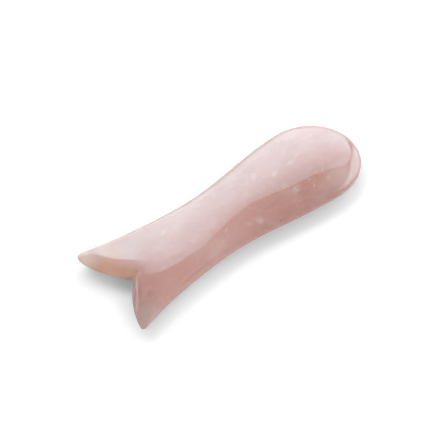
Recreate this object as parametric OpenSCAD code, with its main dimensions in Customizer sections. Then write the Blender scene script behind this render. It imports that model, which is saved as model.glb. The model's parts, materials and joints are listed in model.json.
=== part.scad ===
// Fish-shaped gua sha scraper, carved and polished from one piece of pink stone.
// Lengths are in millimetres. The head points along +X, +Y runs across and +Z is up.
// The origin lies under the middle of the stone, on the surface that it rests on.

/* [Outline] */
// Length from the tail tips to the end of the head
length = 110; // [100:1:130]
// Width across the tail
tail_w = 41.2; // [34:0.2:48]
// Slope at which the sides draw in behind the tail tips
tail_flare = 0.385; // [0.2:0.005:0.5]
// Width of the waist
waist_w = 26.4; // [22:0.2:34]
// Distance from the tail tips to the waist
waist_x = 43.8; // [36:0.2:60]
// Width of the head
head_w = 35.6; // [30:0.2:42]
// Length of the round end, from the head's widest place on
head_end = 19.4; // [12:0.2:26]
// Distance that the end of the head lies to the +Y side of the middle
head_lean = -0.6; // [-2:0.1:2]
// Distance from the end of the head to where it starts to lean
lean_length = 35; // [25:1:45]

/* [Tail notch] */
// Depth of the notch between the two tail lobes
notch_depth = 11; // [6:0.5:16]
// Curve of the notch's edges, where 1 is a straight V and 2 a parabola
notch_curve = 1.68; // [1.2:0.02:2]
// Distance that the notch's apex lies to the +Y side of the middle
notch_shift = -0.9; // [-2:0.1:2]
// Distance from the tail's edge over which that shift fades out
shift_length = 30; // [20:1:50]
// Distance that the lobe on the +Y side stops short of the other
lobe_set_back = 1.7; // [0:0.1:3]
// Size of the rounding of the tail tips
tip_round = 2.3; // [1:0.1:4]
// Width of the ground edge along the notch, at its apex
notch_edge = 2.8; // [2:0.1:6]
// Width of the ground edge along the notch, at the tail tips
tip_edge = 6.7; // [4:0.1:12]
// Curve of the ground edge, where 1 is a flat facet and 2 a quarter round
edge_curve = 1.34; // [1.2:0.02:2]

/* [Crown] */
// Height of the top above the rim, at the tail tips
crown_tail = 1.1; // [0.6:0.1:3]
// Slope at which the top rises from the tail tips
crown_rise = 0.18; // [0.1:0.01:0.25]
// Height of the top above the rim, at the neck
crown_neck = 4.35; // [3:0.05:6]
// Distance from the tail tips to the neck, where the top runs level
neck_x = 36; // [30:0.2:50]
// Height of the top above the rim, at the crest of the head
crown_head = 5.2; // [4:0.1:8]
// Distance from the tail tips to the crest, from where the top runs level
crest_x = 75; // [66:0.2:88]
// Fullness of the cross section at the tail, where 2 is an ellipse
tail_fullness = 4.5; // [2:0.1:5]
// Distance from the tail tips to where the cross section is an ellipse
ellipse_x = 62; // [40:1:80]

/* [Underside] */
// Depth of the underside below the rim
belly_depth = 4.5; // [3.5:0.1:7]
// Depth of the flat that is ground along the underside, for it to rest on
rest_flat = 0.3; // [0.1:0.05:0.6]

/* [Smoothness] */
// Number of cross sections along the stone
stations = 60; // [40:2:72]
// Number of points round each cross section
section_points = 64; // [40:4:72]

/* [Hidden] */
head_x = length - head_end;
rim_z = belly_depth - rest_flat;
// The rounding takes this much off each side at a tail tip
tip_drop = 0.6 * tip_round;
// The setting back of the +Y lobe fades out towards the middle by this power
set_back_fade = 6;
// The cut for the flat reaches past the stone by this much
cut_margin = 10;

// A cubic from p0 to p1 that leaves with slope m0 and arrives with slope m1, for t from 0 to 1
function hermite(t, p0, m0, p1, m1) =
    (2 * t ^ 3 - 3 * t ^ 2 + 1) * p0
    + (t ^ 3 - 2 * t ^ 2 + t) * m0
    + (3 * t ^ 2 - 2 * t ^ 3) * p1
    + (t ^ 3 - t ^ 2) * m1;

function clamp(a) = max(0, min(1, a));

// Quarter ellipse that closes the head, from 1 at its widest place to 0 at its end
function head_close(x) =
    let (t = clamp((x - head_x) / head_end)) sqrt(1 - t ^ 2);

// Half the width of the outline at a distance x from the tail tips, on a lobe that starts at tip_x
function half_width(x, tip_x) =
    let (
        sides = x < waist_x
            ? hermite(x / waist_x, tail_w / 2, -tail_flare * waist_x, waist_w / 2, 0)
            : hermite(clamp((x - waist_x) / (head_x - waist_x)), waist_w / 2, 0, head_w / 2, 0),
        tip = clamp(1 - (x - tip_x) / tip_round)
    )
    sides * head_close(x) - tip_drop * (1 - sqrt(1 - tip ^ 2));

// Height of a face over the rim at x, from its heights at the neck and at the crest
function swell(x, at_neck, at_head) =
    let (
        rise = x < neck_x
            ? hermite(x / neck_x, crown_tail, crown_rise * neck_x, at_neck, 0)
            : hermite(clamp((x - neck_x) / (crest_x - neck_x)), at_neck, 0, at_head, 0)
    )
    rise * head_close(x);

// Distance that the tail is set back at v across from -1 to 1, all of it at the +Y tip
function set_back(v) = lobe_set_back * max(0, v) ^ set_back_fade;

// Distance of the tail's edge from the tail tips, at v across
function tail_edge(v) = notch_depth * (1 - abs(v)) ^ notch_curve + set_back(v);

// Share of the full height that the ground edge leaves, at a distance s from the tail's edge
function edge_round(s, v) =
    let (reach = notch_edge + (tip_edge - notch_edge) * abs(v))
    (1 - clamp(1 - s / reach) ^ edge_curve) ^ (1 / edge_curve);

// Distance of the surface from the middle line, at v across, x along and s from the tail's edge
function across(s, v, x) =
    half_width(x, set_back(v)) * v
    + notch_shift * (1 - v ^ 2) * clamp(1 - s / shift_length) ^ 2
    + head_lean * clamp(1 - (length - x) / lean_length) ^ 2;

// Power of the cross section's curve at x, which is 2 for an ellipse
function fullness(x) =
    let (t = clamp(x / ellipse_x))
    2 + (tail_fullness - 2) * (1 - 3 * t ^ 2 + 2 * t ^ 3);

// Share of the full height at v across, from the power of the cross section
function section(v, power) = max(0, 1 - abs(v) ^ power) ^ (1 / power);

// Point of the surface at station i and at place j round the section
function surface_point(i, j) =
    let (
        s = length * (1 - cos(180 * i / stations)) / 2,
        turn = 360 * j / section_points,
        v = sin(turn),
        x = s + tail_edge(v) * (1 - s / length),
        face = cos(turn) > 0 ? swell(x, crown_neck, crown_head) : -swell(x, belly_depth, belly_depth)
    )
    [x - length / 2, across(s, v, x), rim_z + face * edge_round(s, v) * section(v, fullness(x))];

// The tail's edge is one line that the top and the underside share
quarter = section_points / 4;
edge_count = section_points / 2 + 1;
edge_points = [for (j = [-quarter:quarter]) surface_point(0, j)];
ring_points = [for (i = [1:stations - 1], j = [0:section_points - 1]) surface_point(i, j)];
end_point = [length / 2, head_lean, rim_z];
points = concat(edge_points, ring_points, [end_point]);

// Distance from the line that the sections are laid on to the middle of the whole, across
across_all = [for (p = points) p.y];
middle_y = (min(across_all) + max(across_all)) / 2;

// Place of a point in the list of all points, where station 0 is the tail's edge
function edge_index(j) =
    quarter + (j <= quarter ? j : j <= 3 * quarter ? 2 * quarter - j : j - section_points);
function index(i, j) =
    let (k = j % section_points)
    i == 0 ? edge_index(k) : edge_count + (i - 1) * section_points + k;
end_index = edge_count + (stations - 1) * section_points;

side_faces = [
    for (i = [0:stations - 2], j = [0:section_points - 1])
        each [
            [index(i, j), index(i + 1, j), index(i + 1, j + 1)],
            [index(i, j), index(i + 1, j + 1), index(i, j + 1)]
        ]
];
end_faces = [
    for (j = [0:section_points - 1])
        [index(stations - 1, j), end_index, index(stations - 1, j + 1)]
];

// The whole stone, with its sides and crown in one smooth skin and a flat to rest on
module stone() {
    color([0.86, 0.68, 0.66])
    difference() {
        translate([0, -middle_y, 0])
            polyhedron(points = points, faces = concat(side_faces, end_faces));
        translate([-length / 2 - cut_margin, -tail_w / 2 - cut_margin, -cut_margin])
            cube([length + 2 * cut_margin, tail_w + 2 * cut_margin, cut_margin]);
    }
}

stone();
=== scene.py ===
import json
import math

import bpy
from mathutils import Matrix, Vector

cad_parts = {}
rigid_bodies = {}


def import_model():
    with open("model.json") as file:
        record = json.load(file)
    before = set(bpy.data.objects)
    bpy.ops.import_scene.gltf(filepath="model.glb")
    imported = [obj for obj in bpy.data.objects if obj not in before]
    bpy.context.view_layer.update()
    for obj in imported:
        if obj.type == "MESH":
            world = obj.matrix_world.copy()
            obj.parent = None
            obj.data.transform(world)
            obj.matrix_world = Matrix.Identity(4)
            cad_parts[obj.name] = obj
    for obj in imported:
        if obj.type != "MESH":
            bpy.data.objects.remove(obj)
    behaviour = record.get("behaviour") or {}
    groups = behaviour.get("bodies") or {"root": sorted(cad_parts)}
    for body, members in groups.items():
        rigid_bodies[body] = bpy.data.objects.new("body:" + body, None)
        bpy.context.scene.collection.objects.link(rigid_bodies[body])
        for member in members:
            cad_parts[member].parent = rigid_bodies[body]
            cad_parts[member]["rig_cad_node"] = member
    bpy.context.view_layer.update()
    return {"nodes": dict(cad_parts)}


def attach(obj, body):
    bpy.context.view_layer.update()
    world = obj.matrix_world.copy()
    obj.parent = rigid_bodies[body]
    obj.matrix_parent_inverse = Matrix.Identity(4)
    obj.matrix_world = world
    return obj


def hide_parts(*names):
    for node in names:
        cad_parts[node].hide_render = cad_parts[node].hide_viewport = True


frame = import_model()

bl_info = {
    "name": "Pink Stone Scraper",
    "version": (1, 0, 0),
    "blender": (4, 5, 0),
    "location": "3D View > Sidebar > Scraper",
    "description": "Dresses the fish-shaped scraper as polished pink stone on a pale studio floor",
    "category": "Object",
}

STONE_NODE = "stone"
STONE_BODY = "root"
STONE_SLOT = "pink_stone"

# Materials work in millimetres on the object's own coordinates
MM_PER_M = 1000.0

# Sockets of Blender's Mix node when it mixes colours
MIX_UNDER = 6
MIX_OVER = 7
MIX_RESULT = 2

# Noise that frays the edges of what lies in the stone: its size and the span of its shift, in mm
RAGGED = (1.6, 2.4)
WAVING = (3.0, 1.6)
FLOWING = (9.0, 9.0)

# Middle of the noise's range, where it shifts nothing
NOISE_MIDDLE = (0.5, 0.5, 0.5)

# Clouds in the stone and its polish: stretch, size in mm, detail, and noise where they start and are full
ROSE_BANDS = ((2.0, 1.0, 1.0), 14.0, 2.0, 0.35, 0.65)
BROAD_CLOUDS = ((1.6, 1.0, 1.0), 7.0, 3.0, 0.45, 0.75)
FINE_CLOUDS = ((1.0, 1.0, 1.0), 2.0, 2.0, 0.45, 0.8)
CRACK_PIECES = ((1.0, 1.0, 1.0), 3.0, 2.0, 0.4, 0.65)
PLUMES = ((1.6, 0.8, 1.0), 1.3, 3.0, 0.35, 0.7)
POLISH_SMEARS = ((1.0, 1.0, 1.0), 12.0, 3.0, 0.3, 0.7)

# Zones of another colour in the stone: colour, centre, half sizes, turn and strength, in mm and degrees
ZONES = (
    ("rose", (22.0, -10.0, 7.0), (27.0, 12.0, 12.0), 0, 0.8),
    ("grey_and_shade", (31.5, -16.5, 6.0), (9.0, 5.0, 9.0), 0, 0.35),
    ("blush", (41.0, -13.5, 7.0), (12.0, 8.0, 9.0), 0, 0.95),
    # Painted shade: this grey zone darkens the head's end
    ("grey_and_shade", (51.0, -2.0, 5.0), (9.0, 18.0, 12.0), 0, 0.5),
    ("blush", (-16.0, -10.0, 6.5), (18.0, 8.0, 9.0), 0, 0.4),
    ("rose", (-44.5, -10.0, 7.0), (9.0, 7.5, 9.0), 0, 0.5),
    ("grey_and_shade", (-51.0, -17.0, 4.5), (11.0, 9.0, 9.0), 0, 0.78),
    ("milk", (-51.0, -18.0, 4.5), (9.0, 7.0, 9.0), 0, 0.22),
    ("grey_and_shade", (-34.0, 6.4, 7.9), (7.0, 2.5, 9.0), 0, 0.3),
    ("milk", (-27.0, 6.0, 7.4), (24.0, 11.0, 12.0), 0, 0.25),
    ("milk", (-41.0, 7.0, 7.0), (12.0, 8.5, 9.0), 0, 0.5),
    # The straw and amber zones on the far lobe are partly the stone's own colour and partly a painted
    # glow of light through the thin tail
    ("straw_and_glow", (-48.0, 13.5, 5.5), (13.0, 9.0, 9.0), 20, 0.5),
    ("amber_and_glow", (-47.5, 6.5, 4.0), (9.5, 9.5, 9.0), 0, 0.5),
    ("straw_and_glow", (-52.0, 18.5, 4.5), (8.0, 6.0, 9.0), 60, 0.4),
)

# Thin zones along the rim and the notch, laid like the zones but without their wandering edges. Along the
# far rim and round the head they are a painted reflection. On the thin edge of the notch they are a
# painted glow. Along the near rim and at the far tip they are partly the stone's own colour and partly a
# painted glow of light through the thin stone
EDGES = (
    ("painted_rim_reflection", (20.0, 16.0, 5.3), (60.0, 12.0, 1.4), 0, 0.7),
    ("painted_rim_reflection", (-30.0, 18.0, 5.5), (22.0, 9.0, 1.2), 0, 0.7),
    ("painted_rim_reflection", (53.0, 4.0, 4.9), (9.0, 22.0, 1.4), 0, 0.7),
    ("amber_and_glow", (-25.0, -16.0, 4.0), (45.0, 12.0, 1.8), 0, 0.3),
    ("painted_notch_glow", (-47.0, 4.0, 4.0), (9.0, 15.0, 3.0), 0, 0.85),
    ("painted_notch_glow", (-44.2, 0.3, 5.6), (4.0, 4.0, 2.6), 0, 0.8),
    ("straw_and_glow", (-52.0, 16.0, 4.8), (7.0, 7.0, 2.2), 0, 0.8),
)

# Milky feathers inside the stone: centre, half sizes and turn, in mm and degrees
FEATHERS = (
    ((14.2, 5.3, 9.0), (3.2, 1.6, 6.0), 25),
    ((20.8, 1.4, 9.4), (2.8, 1.6, 6.0), 35),
    ((28.0, 1.8, 9.4), (4.2, 0.9, 6.0), 6),
    ((32.5, 3.2, 9.3), (3.2, 0.8, 6.0), 12),
    ((4.0, -10.5, 7.4), (2.7, 1.8, 5.0), 20),
    ((0.0, -9.2, 7.8), (1.9, 1.1, 5.0), -20),
    ((22.5, -8.5, 8.7), (3.0, 1.6, 5.0), 30),
    ((28.7, -10.5, 8.4), (1.7, 0.7, 5.0), 48),
    ((35.0, -11.0, 8.3), (1.7, 0.8, 5.0), 48),
    ((42.0, -12.0, 7.7), (0.7, 0.7, 4.0), 0),
    ((-25.8, 5.9, 8.4), (2.4, 1.2, 5.0), 30),
    ((-12.0, -9.6, 7.0), (1.2, 0.7, 4.0), 30),
    ((-8.5, -6.9, 7.6), (1.6, 0.6, 4.0), 40),
)

# Healed cracks: how far apart they run, in mm, and half their width as a share of that
CRACK_SIZE = 4.5
CRACK_HALF_WIDTH = 0.05

# Where the stone is cracked: centre, half sizes and turn, in mm and degrees, and softness of the edge
CRACKED_ZONE = ((27.0, -9.8, 8.4), (17.0, 7.0, 9.0), 0, 0.7)

# The longest healed crack: its centre, half sizes and turn, in mm and degrees
LONG_CRACK = ((19.0, -9.4, 8.4), (4.6, 0.35, 5.0), 81)

# Small dark grains: place and radius, in mm, and strength
DARK_GRAINS = (
    ((10.5, -14.2, 5.9), 0.75, 0.7),
    ((-44.4, -10.6, 6.9), 2.2, 0.2),
)

# Where the polish is dullest, it is this many times as rough as where it is finest
DULL_POLISH = 1.6

# Length of the waves that polishing by hand leaves, in mm
WAVE_LENGTH = 9.0

# How strongly the stone bends light
STONE_IOR = 1.55

# How far red, green and blue light travel inside the stone, as shares of the glow depth
GLOW_REACH = (1.0, 0.85, 0.8)

# Lamps: turn to the right of straight ahead and rise, in degrees, and share of the floor's light
LAMPS = {
    "left_lamp": (-45, 40, 0.205),
    "back_lamp": (0, 40, 0.157),
    "right_lamp": (45, 20, 0.142),
    "front_lamp": (135, 20, 0.158),
}

# Distance of each lamp from the stone, and its radius, in metres
LAMP_DISTANCE = 2.0
LAMP_RADIUS = 0.725

# Planes of the reflectors, in metres up, ahead or to the right of the stone as the camera sees it
CEILING_HEIGHT = 2.5
FLOOR_SHEET_HEIGHT = 0.0005
WALL_AHEAD = 5.3
STRIP_RIGHT = -3.5
SIDE_RIGHT = 3.25

# Edge that the ceiling shares with the dimmer sheet before it, in metres to the right and ahead
CEILING_EDGE = ((-0.5, 1.475), (-0.4, 1.535), (-0.2, 1.66), (0.1, 1.62), (0.8, 1.6), (1.57, 1.75))

# Share of full brightness on the right of the ceiling and the wall, by metres to the right
RIGHT_FADE = ((-0.4, 1.0), (0.3, 0.9), (1.5, 0.84), (3.0, 0.8))

# The ceiling brightens along a line that leads this far to the left for each metre ahead
CEILING_SLANT = 0.65

# The side sheet brightens along a line that leads this far ahead for each metre up
SIDE_SLANT = 0.6

# Direction of the floor sheet's near edge, along the far side of the stone
FLOOR_EDGE_RIGHT = 0.8127
FLOOR_EDGE_AHEAD = 0.5828

# Light of the sheets round the stone and of the sheet on the floor
SHEET_WHITE = (0.74, 0.97, 1.07)
FLOOR_SHEET_WHITE = (1.0, 1.0, 1.0)

# Width of the floor and the greatest distance that the camera sees, in metres
FLOOR_SIZE = 30.0
VIEW_END = 100.0

# Point that the camera looks at, in metres above the floor, then to the left and down in the picture
RIM_HEIGHT = 0.0042
AIM_LEFT = 0.00336
AIM_DOWN = 0.00292

# Width of the camera's sensor, in mm
SENSOR_WIDTH = 36.0


def settings():
    """The scraper's settings in the open scene."""
    return bpy.context.scene.scraper


def add(tree, kind, sockets=None, **options):
    """Adds a node, sets its options and fills its sockets with values or links."""
    made = tree.nodes.new(kind)
    for name, value in options.items():
        setattr(made, name, value)
    for key, value in (sockets or {}).items():
        if isinstance(value, bpy.types.NodeSocket):
            tree.links.new(value, made.inputs[key])
        else:
            made.inputs[key].default_value = value
    return made


def new_group(name, inputs):
    """Starts a shader node group that gives a mask, and returns it with its input and output nodes."""
    group = bpy.data.node_groups.new(name, "ShaderNodeTree")
    for label, kind, value in inputs:
        socket = group.interface.new_socket(label, in_out="INPUT", socket_type=kind)
        socket.default_value = value
    group.interface.new_socket("Mask", in_out="OUTPUT", socket_type="NodeSocketFloat")
    return group, group.nodes.new("NodeGroupInput"), group.nodes.new("NodeGroupOutput")


def patch_group():
    """A soft oval patch about one place in the stone."""
    group, start, end = new_group(
        "Stone patch",
        (
            ("Place", "NodeSocketVector", (0, 0, 0)),
            ("Centre", "NodeSocketVector", (0, 0, 0)),
            ("Reach", "NodeSocketVector", (1, 1, 1)),
            ("Turn", "NodeSocketFloat", 0.0),
            ("Softness", "NodeSocketFloat", 0.5),
        ),
    )
    away = add(
        group, "ShaderNodeVectorMath",
        {0: start.outputs["Place"], 1: start.outputs["Centre"]}, operation="SUBTRACT",
    )
    turned = add(
        group, "ShaderNodeVectorRotate",
        {"Vector": away.outputs[0], "Angle": start.outputs["Turn"]}, rotation_type="Z_AXIS",
    )
    share = add(
        group, "ShaderNodeVectorMath",
        {0: turned.outputs[0], 1: start.outputs["Reach"]}, operation="DIVIDE",
    )
    reach = add(group, "ShaderNodeVectorMath", {0: share.outputs[0]}, operation="LENGTH")
    inner = add(
        group, "ShaderNodeMath", {0: 1.0, 1: start.outputs["Softness"]}, operation="SUBTRACT",
    )
    mask = add(
        group, "ShaderNodeMapRange",
        {
            "Value": reach.outputs["Value"],
            "From Min": inner.outputs[0],
            "From Max": 1.0,
            "To Min": 1.0,
            "To Max": 0.0,
        },
        interpolation_type="SMOOTHSTEP",
    )
    group.links.new(mask.outputs[0], end.inputs["Mask"])
    return group


def cloud_group():
    """Cloudiness in the stone, from noise of one size that may be stretched."""
    group, start, end = new_group(
        "Stone cloud",
        (
            ("Place", "NodeSocketVector", (0, 0, 0)),
            ("Stretch", "NodeSocketVector", (1, 1, 1)),
            ("Size", "NodeSocketFloat", 10.0),
            ("Detail", "NodeSocketFloat", 2.0),
            ("Low", "NodeSocketFloat", 0.4),
            ("High", "NodeSocketFloat", 0.6),
        ),
    )
    drawn = add(
        group, "ShaderNodeVectorMath",
        {0: start.outputs["Place"], 1: start.outputs["Stretch"]}, operation="DIVIDE",
    )
    scale = add(group, "ShaderNodeMath", {0: 1.0, 1: start.outputs["Size"]}, operation="DIVIDE")
    noise = add(
        group, "ShaderNodeTexNoise",
        {
            "Vector": drawn.outputs[0],
            "Scale": scale.outputs[0],
            "Detail": start.outputs["Detail"],
        },
    )
    mask = add(
        group, "ShaderNodeMapRange",
        {
            "Value": noise.outputs["Fac"],
            "From Min": start.outputs["Low"],
            "From Max": start.outputs["High"],
        },
        interpolation_type="SMOOTHSTEP",
    )
    group.links.new(mask.outputs[0], end.inputs["Mask"])
    return group


def crack_group():
    """Healed cracks that run as pale threads through the stone."""
    group, start, end = new_group(
        "Healed cracks",
        (
            ("Place", "NodeSocketVector", (0, 0, 0)),
            ("Size", "NodeSocketFloat", 5.0),
            ("Half width", "NodeSocketFloat", 0.05),
        ),
    )
    scale = add(group, "ShaderNodeMath", {0: 1.0, 1: start.outputs["Size"]}, operation="DIVIDE")
    cells = add(
        group, "ShaderNodeTexVoronoi",
        {"Vector": start.outputs["Place"], "Scale": scale.outputs[0]},
        feature="DISTANCE_TO_EDGE",
    )
    mask = add(
        group, "ShaderNodeMapRange",
        {
            "Value": cells.outputs["Distance"],
            "From Min": 0.0,
            "From Max": start.outputs["Half width"],
            "To Min": 1.0,
            "To Max": 0.0,
        },
        interpolation_type="SMOOTHSTEP",
    )
    group.links.new(mask.outputs[0], end.inputs["Mask"])
    return group


class StonePainter:
    """Lays one colour over another in a material, each through its own mask."""

    def __init__(self, tree, colour):
        self.tree = tree
        self.colour = (*colour, 1.0)

    def lay(self, colour, mask, amount):
        """Lays a colour over what is there, as far as the mask and the amount say."""
        share = add(self.tree, "ShaderNodeMath", {0: mask, 1: amount}, operation="MULTIPLY")
        mixed = add(
            self.tree, "ShaderNodeMix",
            {0: share.outputs[0], MIX_UNDER: self.colour, MIX_OVER: (*colour, 1.0)},
            data_type="RGBA",
        )
        self.colour = mixed.outputs[MIX_RESULT]


def frayed(tree, place, size, span):
    """The place, shifted by noise, so that what is laid there gets a frayed edge."""
    noise = add(tree, "ShaderNodeTexNoise", {"Vector": place, "Scale": 1.0 / size, "Detail": 3.0})
    centred = add(
        tree, "ShaderNodeVectorMath",
        {0: noise.outputs["Color"], 1: NOISE_MIDDLE}, operation="SUBTRACT",
    )
    shift = add(
        tree, "ShaderNodeVectorMath", {0: centred.outputs[0], "Scale": span}, operation="SCALE",
    )
    moved = add(tree, "ShaderNodeVectorMath", {0: place, 1: shift.outputs[0]}, operation="ADD")
    return moved.outputs[0]


def stone_material():
    """Polished pink stone, with clouds, feathers, healed cracks, stains and dark grains, and with painted
    shade, glow and reflection in places.
    """
    values = settings()
    material = bpy.data.materials.new(STONE_SLOT)
    material.use_nodes = True
    tree = material.node_tree
    shader = tree.nodes["Principled BSDF"]

    patch = patch_group()
    cloud = cloud_group()
    cracks = crack_group()

    coordinates = add(tree, "ShaderNodeTexCoord")
    mapping = add(
        tree, "ShaderNodeMapping", {"Vector": coordinates.outputs["Object"], "Scale": (MM_PER_M,) * 3},
    )
    place = mapping.outputs[0]
    ragged = frayed(tree, place, *RAGGED)
    waving = frayed(tree, place, *WAVING)
    flowing = frayed(tree, place, *FLOWING)

    def clouds(where, stretch, size, detail, low, high):
        """A mask of clouds in the stone."""
        sockets = {
            "Place": where,
            "Stretch": stretch,
            "Size": size,
            "Detail": detail,
            "Low": low,
            "High": high,
        }
        return add(tree, "ShaderNodeGroup", sockets, node_tree=cloud).outputs["Mask"]

    def spot(where, centre, reach, turn=0, softness=1.0):
        """A mask of one oval patch in the stone."""
        sockets = {
            "Place": where,
            "Centre": centre,
            "Reach": reach,
            "Turn": math.radians(-turn),
            "Softness": softness,
        }
        return add(tree, "ShaderNodeGroup", sockets, node_tree=patch).outputs["Mask"]

    def largest(masks):
        """A mask of what lies in any of several masks."""
        best = masks[0]
        for mask in masks[1:]:
            best = add(tree, "ShaderNodeMath", {0: best, 1: mask}, operation="MAXIMUM").outputs[0]
        return best

    def both(mask, other):
        """A mask of what lies in two masks at once."""
        return add(tree, "ShaderNodeMath", {0: mask, 1: other}, operation="MULTIPLY").outputs[0]

    paint = StonePainter(tree, values.pink)

    # Broad bands and zones of the stone. Painted light lies among them: shade at the head's end, a
    # reflection along the far rim and round the head, glow on the notch's edge, and glow mixed with the
    # stone's own colour on the thin tail and near rim
    paint.lay(values.rose, clouds(flowing, *ROSE_BANDS), amount=0.25)
    for colour, centre, reach, turn, strength in ZONES:
        paint.lay(getattr(values, colour), spot(flowing, centre, reach, turn), strength)
    for colour, centre, reach, turn, strength in EDGES:
        paint.lay(getattr(values, colour), spot(place, centre, reach, turn), strength)

    # Milky clouds
    paint.lay(values.milk, clouds(flowing, *BROAD_CLOUDS), amount=0.2)
    paint.lay(values.milk, clouds(ragged, *FINE_CLOUDS), amount=0.12)

    # Healed cracks, broken here and there
    thread = add(
        tree, "ShaderNodeGroup",
        {"Place": ragged, "Size": CRACK_SIZE, "Half width": CRACK_HALF_WIDTH}, node_tree=cracks,
    )
    near_head = spot(flowing, *CRACKED_ZONE)
    broken = clouds(place, *CRACK_PIECES)
    paint.lay(values.milk, both(both(thread.outputs["Mask"], near_head), broken), amount=0.42)
    paint.lay(values.milk, both(spot(waving, *LONG_CRACK), broken), amount=0.6)

    # Milky feathers
    plume = clouds(ragged, *PLUMES)
    feathers = largest([spot(waving, *feather) for feather in FEATHERS])
    paint.lay(values.milk, feathers, amount=0.16)
    paint.lay(values.milk, both(feathers, plume), amount=0.38)

    # Dark grains
    for centre, radius, strength in DARK_GRAINS:
        paint.lay(values.grain, spot(waving, centre, (radius,) * 3), strength)

    # The light that the stone throws on the floor has no tint
    path = add(tree, "ShaderNodeLightPath")
    seen = add(
        tree, "ShaderNodeMix",
        {0: path.outputs["Is Diffuse Ray"], MIX_UNDER: paint.colour, MIX_OVER: (*values.bounce, 1.0)},
        data_type="RGBA",
    )
    tree.links.new(seen.outputs[MIX_RESULT], shader.inputs["Base Color"])

    # The polish is finer in some places than in others
    smear = clouds(flowing, *POLISH_SMEARS)
    polish = add(
        tree, "ShaderNodeMapRange",
        {"Value": smear, "To Min": values.roughness, "To Max": values.roughness * DULL_POLISH},
    )
    tree.links.new(polish.outputs[0], shader.inputs["Roughness"])
    wave = add(tree, "ShaderNodeTexNoise", {"Vector": place, "Scale": 1.0 / WAVE_LENGTH, "Detail": 1.0})
    bump = add(
        tree, "ShaderNodeBump",
        {"Height": wave.outputs["Fac"], "Strength": 1.0, "Distance": values.polish_wave},
    )
    tree.links.new(bump.outputs[0], shader.inputs["Normal"])

    shader.inputs["IOR"].default_value = STONE_IOR
    shader.inputs["Subsurface Weight"].default_value = 1.0
    shader.inputs["Subsurface Radius"].default_value = GLOW_REACH
    shader.inputs["Subsurface Scale"].default_value = values.glow_depth
    return material


def view_axes():
    """The camera's level directions to the right and ahead, as seen from above the stone."""
    turn = settings().view_turn
    right = Vector((math.cos(turn), -math.sin(turn), 0.0))
    ahead = Vector((math.sin(turn), math.cos(turn), 0.0))
    return right, ahead


def stage_point(right, ahead, height):
    """A place on the stage, in metres to the right, ahead and up, as the camera sees the stone."""
    to_right, to_ahead = view_axes()
    return to_right * right + to_ahead * ahead + Vector((0.0, 0.0, height))


def stage_direction(azimuth, elevation):
    """A direction from the stone, by its turn to the right of straight ahead and its rise, in degrees."""
    turn = math.radians(azimuth)
    rise = math.radians(elevation)
    return stage_point(math.sin(turn) * math.cos(rise), math.cos(turn) * math.cos(rise), math.sin(rise))


def level_corners(height, places):
    """Corners of a level sheet, from places to the right and ahead."""
    return [(right, ahead, height) for right, ahead in places]


def wall_corners(ahead, places):
    """Corners of an upright sheet across the view, from places to the right and up."""
    return [(right, ahead, height) for right, height in places]


def side_corners(right, places):
    """Corners of an upright sheet beside the view, from places ahead and up."""
    return [(right, ahead, height) for ahead, height in places]


def fade(tree, vector, axis, stops):
    """A share of full brightness that changes with the distance along an axis, from stop to stop."""
    first = stops[0][0]
    last = stops[-1][0]
    along = add(tree, "ShaderNodeVectorMath", {0: vector, 1: axis}, operation="DOT_PRODUCT")
    travel = add(
        tree, "ShaderNodeMapRange",
        {"Value": along.outputs["Value"], "From Min": first, "From Max": last},
    )
    ramp = add(tree, "ShaderNodeValToRGB", {"Fac": travel.outputs[0]})
    elements = ramp.color_ramp.elements
    while len(elements) < len(stops):
        elements.new(0.5)
    for element, (place, share) in zip(elements, stops):
        element.position = (place - first) / (last - first)
        element.color = (share, share, share, 1.0)
    return ramp.outputs["Color"]


def reflector(name, corners, strength, colour, fades=()):
    """A bright sheet beside the stage that only shows as a reflection in the polish."""
    bpy.ops.mesh.primitive_circle_add(vertices=len(corners), fill_type="NGON")
    sheet = bpy.context.object
    sheet.name = name
    for vertex, corner in zip(sheet.data.vertices, corners):
        vertex.co = stage_point(*corner)
    material = bpy.data.materials.new(name)
    material.use_nodes = True
    tree = material.node_tree
    tree.nodes.clear()
    place = add(tree, "ShaderNodeTexCoord").outputs["Object"]
    level = strength
    for axis, stops in fades:
        share = fade(tree, place, axis, stops)
        level = add(tree, "ShaderNodeMath", {0: level, 1: share}, operation="MULTIPLY").outputs[0]
    light = add(tree, "ShaderNodeEmission", {"Color": (*colour, 1.0), "Strength": level})
    end = add(tree, "ShaderNodeOutputMaterial")
    tree.links.new(light.outputs[0], end.inputs["Surface"])
    sheet.data.materials.append(material)
    sheet.visible_camera = False
    sheet.visible_diffuse = False
    sheet.visible_shadow = False
    sheet.visible_transmission = False
    sheet.visible_volume_scatter = False


def soft_lamp(name, azimuth, elevation, share):
    """A round lamp that gives the floor a share of its light, and doesn't show in the polish."""
    area = math.pi * LAMP_RADIUS ** 2
    steepness = math.sin(math.radians(elevation))
    spread = LAMP_RADIUS ** 2 / (LAMP_RADIUS ** 2 + LAMP_DISTANCE ** 2)
    radiance = share / (spread * steepness)
    lamp = bpy.data.lights.new(name, "AREA")
    lamp.shape = "DISK"
    lamp.size = 2 * LAMP_RADIUS
    lamp.energy = radiance * area * math.pi
    holder = bpy.data.objects.new(name, lamp)
    bpy.context.scene.collection.objects.link(holder)
    holder.location = stage_direction(azimuth, elevation) * LAMP_DISTANCE
    holder.rotation_mode = "QUATERNION"
    holder.rotation_quaternion = (-holder.location).to_track_quat("-Z", "Y")
    holder.visible_camera = False
    holder.visible_glossy = False


def background_rays(tree):
    """A value that is 1 for rays from the camera, a reflection or a clear surface, and 0 for others."""
    path = add(tree, "ShaderNodeLightPath")
    seen = add(
        tree, "ShaderNodeMath",
        {0: path.outputs["Is Camera Ray"], 1: path.outputs["Is Glossy Ray"]}, operation="MAXIMUM",
    )
    return add(
        tree, "ShaderNodeMath",
        {0: seen.outputs[0], 1: path.outputs["Is Transmission Ray"]}, operation="MAXIMUM",
    ).outputs[0]


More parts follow.
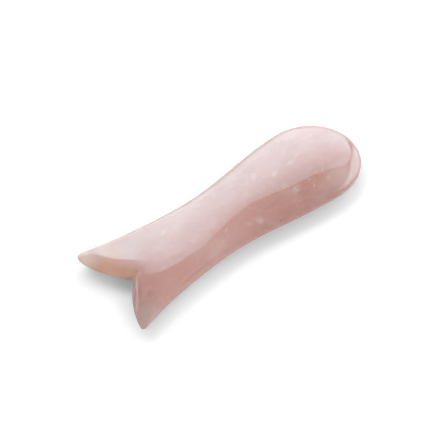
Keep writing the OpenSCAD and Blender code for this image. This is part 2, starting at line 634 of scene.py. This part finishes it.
def colour_setting(name, description, default):
    """A colour that a user may change."""
    return bpy.props.FloatVectorProperty(
        name=name, description=description, default=default, min=0.0, max=1.0, subtype="COLOR",
    )


class ScraperSettings(bpy.types.PropertyGroup):
    """Sizes and colours of the stone and its stage that a user may change."""

    weld: bpy.props.FloatProperty(
        name="Weld distance", description="Corners that lie closer than this are merged",
        default=0.00001, min=0.0, unit="LENGTH", precision=6,
    )
    smoothing: bpy.props.IntProperty(
        name="Smoothing", description="Number of times that each face is divided into four",
        default=2, min=0, max=3,
    )
    pink: colour_setting("Pink", "Colour of the clear body of the stone", (0.60, 0.335, 0.295))
    rose: colour_setting("Rose", "Colour of the deeper bands and zones", (0.50, 0.26, 0.22))
    milk: colour_setting(
        "Milk", "Colour of the milky zones, clouds, feathers and healed cracks", (0.75, 0.585, 0.57),
    )
    blush: colour_setting(
        "Blush", "Colour of the paler zones at the head's end and the waist", (0.62, 0.43, 0.40),
    )
    # Grey is partly the stone's own greyish zones and partly painted shade, where it darkens the head's
    # end
    grey_and_shade: colour_setting("Grey", "Colour of the clear greyish zones", (0.47, 0.345, 0.315))
    amber_and_glow: colour_setting(
        # Amber is partly a stain and partly a painted glow of light through the thin stone, along the
        # near rim and beside the notch
        "Amber", "Colour of the stain beside the notch and along the near rim", (0.80, 0.44, 0.27),
    )
    # Straw is partly the pale tip's own colour and partly a painted glow of light through the thin tip
    straw_and_glow: colour_setting("Straw", "Colour of the pale tip behind the notch", (0.88, 0.71, 0.61))
    # This colour is a painted glow on the thin edge of the notch, standing in for light that shines
    # through it
    painted_notch_glow: colour_setting(
        "Honey", "Colour of the thin edge of the notch, where light shines through", (0.95, 0.57, 0.38),
    )
    # This colour is a painted reflection: a greyer, darker line along the far rim and round the head
    painted_rim_reflection: colour_setting(
        "Painted rim reflection", "Colour of the thin rim on the far side and round the head", (0.52, 0.45, 0.435),
    )
    grain: colour_setting("Grain", "Colour of the dark grains", (0.24, 0.12, 0.11))
    bounce: colour_setting(
        "Bounce", "Colour of the stone for the light that it throws on the floor", (0.3, 0.3, 0.3),
    )
    roughness: bpy.props.FloatProperty(
        name="Roughness", description="Roughness where the polish is finest",
        default=0.02, min=0.0, max=1.0, subtype="FACTOR",
    )
    polish_wave: bpy.props.FloatProperty(
        name="Polish wave", description="Height of the waves that polishing by hand leaves",
        default=0.00003, min=0.0, unit="LENGTH", precision=6,
    )
    glow_depth: bpy.props.FloatProperty(
        name="Glow depth", description="Distance that light travels inside the stone",
        default=0.001, min=0.0, unit="LENGTH", precision=4,
    )
    floor_white: bpy.props.FloatProperty(
        name="Floor", description="Whiteness of the floor where the camera sees it",
        default=1.0, min=0.0, max=1.0, subtype="FACTOR",
    )
    floor_bounce: bpy.props.FloatProperty(
        name="Floor bounce", description="Share of the light that the floor throws back at the stone",
        default=0.5, min=0.0, max=1.0, subtype="FACTOR",
    )
    floor_glow: bpy.props.FloatProperty(
        name="Floor glow", description="Light that the floor adds where the camera sees it",
        default=0.2, min=0.0, max=1.0, subtype="FACTOR",
    )
    sky: bpy.props.FloatProperty(
        name="Sky", description="Strength of the even light from all round",
        default=0.307, min=0.0,
    )
    view_turn: bpy.props.FloatProperty(
        name="View turn", description="Turn of the camera about the vertical",
        default=math.radians(39.4), subtype="ANGLE",
    )
    view_tilt: bpy.props.FloatProperty(
        name="View tilt", description="Angle at which the camera looks down",
        default=math.radians(51.1), subtype="ANGLE",
    )
    view_distance: bpy.props.FloatProperty(
        name="View distance", description="Distance from the camera to the stone",
        default=0.6667, min=0.1, unit="LENGTH",
    )
    view_lens: bpy.props.FloatProperty(
        name="Lens", description="Focal length of the camera",
        default=153.8, min=1.0, unit="CAMERA",
    )


class SCRAPER_OT_stone(bpy.types.Operator):
    """Makes the polished stone from a smoothed copy of its solid"""

    bl_idname = "scraper.stone"
    bl_label = "Polished Stone"

    def execute(self, context):
        values = settings()
        bpy.ops.object.select_all(action="DESELECT")
        solid = frame["nodes"][STONE_NODE]
        solid.select_set(True)
        context.view_layer.objects.active = solid
        bpy.ops.object.duplicate()
        stone = context.view_layer.objects.active
        stone.name = "polished_stone"
        del stone["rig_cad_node"]

        bpy.ops.object.mode_set(mode="EDIT")
        bpy.ops.mesh.select_all(action="SELECT")
        bpy.ops.mesh.remove_doubles(threshold=values.weld)
        bpy.ops.mesh.tris_convert_to_quads()
        bpy.ops.object.mode_set(mode="OBJECT")
        rounding = stone.modifiers.new("Rounding", "SUBSURF")
        rounding.levels = values.smoothing
        rounding.render_levels = values.smoothing
        bpy.ops.object.modifier_apply(modifier=rounding.name)
        bpy.ops.object.shade_smooth()

        stone.data.materials.clear()
        stone.data.materials.append(stone_material())
        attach(stone, STONE_BODY)
        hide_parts(STONE_NODE)
        return {"FINISHED"}


class SCRAPER_OT_stage(bpy.types.Operator):
    """Makes the floor, the light, the reflectors and the camera"""

    bl_idname = "scraper.stage"
    bl_label = "Studio Stage"

    def execute(self, context):
        values = settings()
        bpy.ops.object.select_all(action="DESELECT")
        self.lay_floor(values)
        self.light_sky(values)
        for name, (azimuth, elevation, share) in LAMPS.items():
            soft_lamp(name, azimuth, elevation, share)
        self.hang_reflectors()
        self.place_camera(context, values)
        context.scene.view_settings.view_transform = "Standard"
        return {"FINISHED"}

    def lay_floor(self, values):
        """A pale floor that keeps the stone's shadow."""
        bpy.ops.mesh.primitive_plane_add(size=FLOOR_SIZE)
        floor = bpy.context.object
        floor.name = "floor"
        material = bpy.data.materials.new("floor")
        material.use_nodes = True
        tree = material.node_tree
        tree.nodes.clear()
        seen = background_rays(tree)
        white = add(
            tree, "ShaderNodeMapRange",
            {"Value": seen, "To Min": values.floor_bounce, "To Max": values.floor_white},
        )
        matt = add(tree, "ShaderNodeBsdfDiffuse", {"Color": white.outputs[0]})
        share = add(tree, "ShaderNodeMath", {0: seen, 1: values.floor_glow}, operation="MULTIPLY")
        glow = add(tree, "ShaderNodeEmission", {"Strength": share.outputs[0]})
        both = add(tree, "ShaderNodeAddShader", {0: matt.outputs[0], 1: glow.outputs[0]})
        end = add(tree, "ShaderNodeOutputMaterial")
        tree.links.new(both.outputs[0], end.inputs["Surface"])
        floor.data.materials.append(material)

    def hang_reflectors(self):
        """Bright sheets over and round the stone, most of them dimmer towards their soft edges."""
        up = Vector((0.0, 0.0, 1.0))
        right, ahead = view_axes()
        ceiling_slant = ahead - right * CEILING_SLANT
        side_slant = up + ahead * SIDE_SLANT
        away = ahead * FLOOR_EDGE_RIGHT - right * FLOOR_EDGE_AHEAD
        reflector(
            "ceiling_reflector",
            level_corners(CEILING_HEIGHT, (
                (-2.2, 2.2), (-1.5, 1.5), (-0.6, 1.455), *CEILING_EDGE, (2.26, 2.47),
                (2.64, 3.33), (3.29, 4.85), (3.42, WALL_AHEAD), (-8.0, WALL_AHEAD),
            )),
            strength=7.4, colour=SHEET_WHITE,
            fades=(
                (ceiling_slant, (
                    (1.0, 0.53), (1.5, 0.62), (1.75, 0.68), (1.9, 0.74), (2.1, 0.8),
                    (2.6, 0.86), (3.2, 0.89), (4.5, 0.9), (6.0, 0.91),
                )),
                (right, ((-2.4, 0.58), (-1.9, 0.71), (-1.2, 0.88), *RIGHT_FADE)),
            ),
        )
        reflector(
            "front_reflector",
            level_corners(CEILING_HEIGHT, ((-0.6, 1.43), (0.78, 1.35), *reversed(CEILING_EDGE))),
            strength=3.3, colour=SHEET_WHITE,
        )
        reflector(
            "strip_reflector",
            side_corners(STRIP_RIGHT, (
                (2.3, 0.0), (2.06, 0.0), (1.86, 0.84), (1.68, 1.42), (1.5, 1.9), (1.38, 2.3),
                (1.38, 3.2), (1.55, 2.75), (1.71, 2.3), (1.86, 1.9), (2.06, 1.32), (2.3, 0.3),
            )),
            strength=4.2, colour=SHEET_WHITE,
            fades=((ahead, ((1.4, 0.0), (1.55, 0.8), (1.7, 1.0))),),
        )
        reflector(
            "floor_reflector",
            level_corners(FLOOR_SHEET_HEIGHT, (
                (-0.3, -0.178), (0.1, 0.1086), (3.0, 4.0), (3.0, 5.2), (-3.0, 5.2), (-3.0, 1.0),
            )),
            strength=2.1, colour=FLOOR_SHEET_WHITE,
            fades=((away, ((0.03, 0.6), (0.06, 0.85), (0.1, 1.0))),),
        )
        reflector(
            "wall_reflector",
            wall_corners(WALL_AHEAD, (
                (-8.0, CEILING_HEIGHT), (3.38, CEILING_HEIGHT), (2.95, 1.93), (2.41, 0.95),
                (2.1, 0.5), (1.95, 0.0), (-8.0, 0.0),
            )),
            strength=7.4, colour=SHEET_WHITE,
            fades=(
                (up, ((0.0, 0.48), (0.6, 0.67), (1.06, 0.74), (1.77, 0.81), (CEILING_HEIGHT, 0.88))),
                (right, ((-2.6, 0.2), (-2.1, 0.45), (-1.75, 0.85), (-1.5, 1.0), *RIGHT_FADE)),
            ),
        )
        reflector(
            "side_reflector",
            side_corners(SIDE_RIGHT, (
                (5.0, 0.0), (5.0, 1.4), (4.57, 1.95), (3.95, 2.72),
                (3.39, 3.27), (2.9, 4.0), (-1.2, 4.0), (-1.2, 0.0),
            )),
            strength=4.7, colour=SHEET_WHITE,
            fades=(
                (ahead, (
                    (-1.2, 0.0), (-0.9, 0.45), (-0.4, 0.65), (0.3, 0.85),
                    (1.0, 1.0), (3.6, 1.0), (4.4, 0.75),
                )),
                (up, ((0.0, 0.8), (0.5, 1.0), (2.9, 1.0), (4.0, 0.0))),
                (side_slant, ((0.3, 0.2), (0.8, 0.35), (1.25, 0.95), (1.5, 1.0))),
            ),
        )

    def light_sky(self, values):
        """Even light from all round, which the camera sees as white."""
        world = bpy.data.worlds.new("studio")
        bpy.context.scene.world = world
        world.use_nodes = True
        tree = world.node_tree
        strength = add(
            tree, "ShaderNodeMapRange",
            {"Value": background_rays(tree), "To Min": values.sky, "To Max": 1.0},
        )
        sky = tree.nodes["Background"]
        sky.inputs["Color"].default_value = (1.0, 1.0, 1.0, 1.0)
        tree.links.new(strength.outputs[0], sky.inputs["Strength"])

    def place_camera(self, context, values):
        """The camera, which looks down on the stone from beside its tail."""
        right, ahead = view_axes()
        tilt = values.view_tilt
        rim = Vector((0.0, 0.0, RIM_HEIGHT))
        look = ahead * math.cos(tilt) - Vector((0.0, 0.0, math.sin(tilt)))
        up = ahead * math.sin(tilt) + Vector((0.0, 0.0, math.cos(tilt)))
        aim = rim - right * AIM_LEFT - up * AIM_DOWN
        camera = bpy.data.cameras.new("camera")
        camera.sensor_width = SENSOR_WIDTH
        camera.lens = values.view_lens
        camera.clip_end = VIEW_END
        holder = bpy.data.objects.new("camera", camera)
        context.scene.collection.objects.link(holder)
        holder.location = aim - look * values.view_distance
        holder.rotation_mode = "QUATERNION"
        holder.rotation_quaternion = look.to_track_quat("-Z", "Y")
        context.scene.camera = holder


class SCRAPER_PT_panel(bpy.types.Panel):
    """Lists the scraper's settings and the steps that make it"""

    bl_idname = "SCRAPER_PT_panel"
    bl_label = "Pink Stone Scraper"
    bl_space_type = "VIEW_3D"
    bl_region_type = "UI"
    bl_category = "Scraper"

    def draw(self, context):
        layout = self.layout
        for name in ScraperSettings.__annotations__:
            layout.prop(context.scene.scraper, name)
        layout.operator(SCRAPER_OT_stone.bl_idname)
        layout.operator(SCRAPER_OT_stage.bl_idname)


CLASSES = (ScraperSettings, SCRAPER_OT_stone, SCRAPER_OT_stage, SCRAPER_PT_panel)


def register():
    """Makes the scraper's settings, steps and panel known."""
    for cls in CLASSES:
        bpy.utils.register_class(cls)
    bpy.types.Scene.scraper = bpy.props.PointerProperty(type=ScraperSettings)


def unregister():
    """Takes back what register made known."""
    del bpy.types.Scene.scraper
    for cls in reversed(CLASSES):
        bpy.utils.unregister_class(cls)


def main():
    """Makes the stone and its stage."""
    register()
    bpy.ops.scraper.stone()
    bpy.ops.scraper.stage()


if __name__ == "__main__":
    main()
